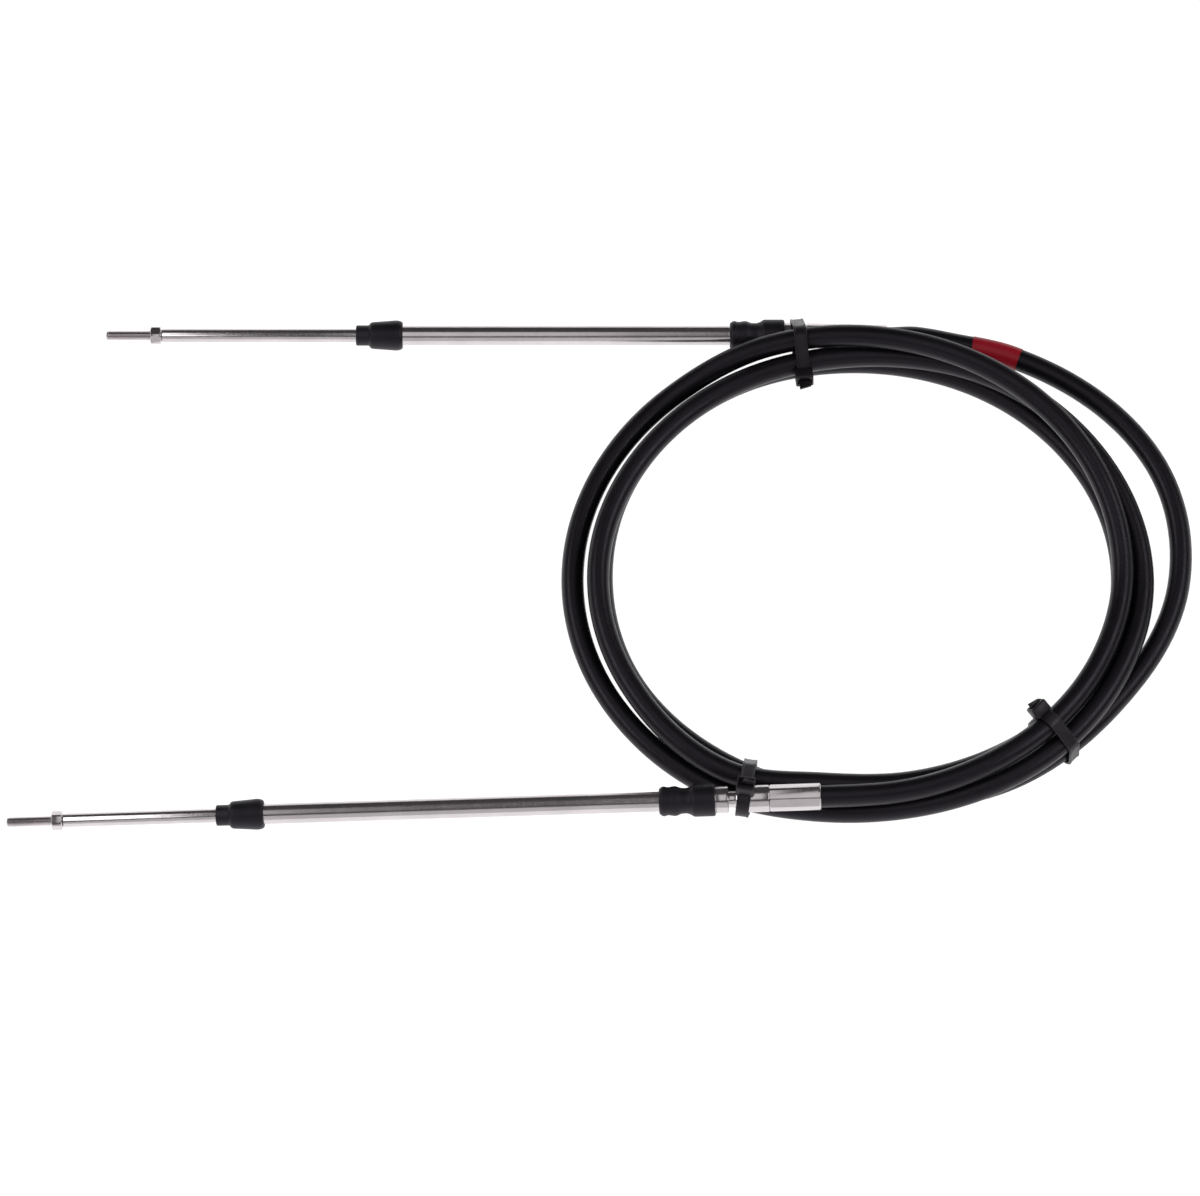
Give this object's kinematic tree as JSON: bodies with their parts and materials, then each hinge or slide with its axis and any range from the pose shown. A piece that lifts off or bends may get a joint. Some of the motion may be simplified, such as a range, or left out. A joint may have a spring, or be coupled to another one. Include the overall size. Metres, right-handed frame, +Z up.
{
  "type": "push-pull control cable",
  "caption": "Coiled push-pull control cable with a threaded sliding rod, a sleeve and rubber boots on each end; moving one rod moves the other.",
  "frame": {"origin": "middle of the bounding box at floor level, with the cable lying flat as in the picture", "axes": "+X from the rod tips towards the far side of the coil, +Y from end b towards end a, +Z up from the floor"},
  "size_m": [0.6856, 0.3168, 0.0511],
  "materials": {
    "conduit_jacket": "satin black extruded jacket",
    "boot_rubber": "moulded matte black rubber",
    "stainless": "bright drawn stainless steel",
    "tie_nylon": "black nylon with a light sheen",
    "marker_red": "satin red film"
  },
  "bodies": {
    "coil": {"conduit": "conduit_jacket", "marker_band": "marker_red", "hub_a": "stainless", "hub_b": "stainless", "swivel_boot_a": "boot_rubber", "swivel_boot_b": "boot_rubber", "cable_tie_a": "tie_nylon", "cable_tie_b": "tie_nylon", "cable_tie_c": "tie_nylon"},
    "sleeve_end_a": {"sleeve_a": "stainless", "wiper_boot_a": "boot_rubber"},
    "sleeve_end_b": {"sleeve_b": "stainless", "wiper_boot_b": "boot_rubber"},
    "rod_end_a": {"rod_a": "stainless", "jam_nut_a": "stainless"},
    "rod_end_b": {"rod_b": "stainless", "jam_nut_b": "stainless"}
  },
  "joints": [
    {"name": "swivel_a", "type": "hinge", "parent": "coil", "child": "sleeve_end_a", "pos_m": [0.09965, 0.14818, 0.0098], "axis": [0, 0, 1], "range_deg": [-8, 8], "deforming": ["swivel_boot_a"]},
    {"name": "swivel_b", "type": "hinge", "parent": "coil", "child": "sleeve_end_b", "pos_m": [0.05705, -0.14633, 0.0292], "axis": [0, 0, 1], "range_deg": [-8, 8], "deforming": ["swivel_boot_b"]},
    {"name": "rod_slide_a", "type": "slide", "parent": "sleeve_end_a", "child": "rod_end_a", "axis": [-1, 0, 0], "range_m": [-0.051, 0.025]},
    {"name": "rod_slide_b", "type": "slide", "parent": "sleeve_end_b", "child": "rod_end_b", "axis": [-0.9979, -0.0122, -0.0633], "range_m": [-0.025, 0.051]}
  ],
  "couplings": [
    {"joint": "rod_slide_b", "follows": "rod_slide_a", "ratio": -1}
  ]
}
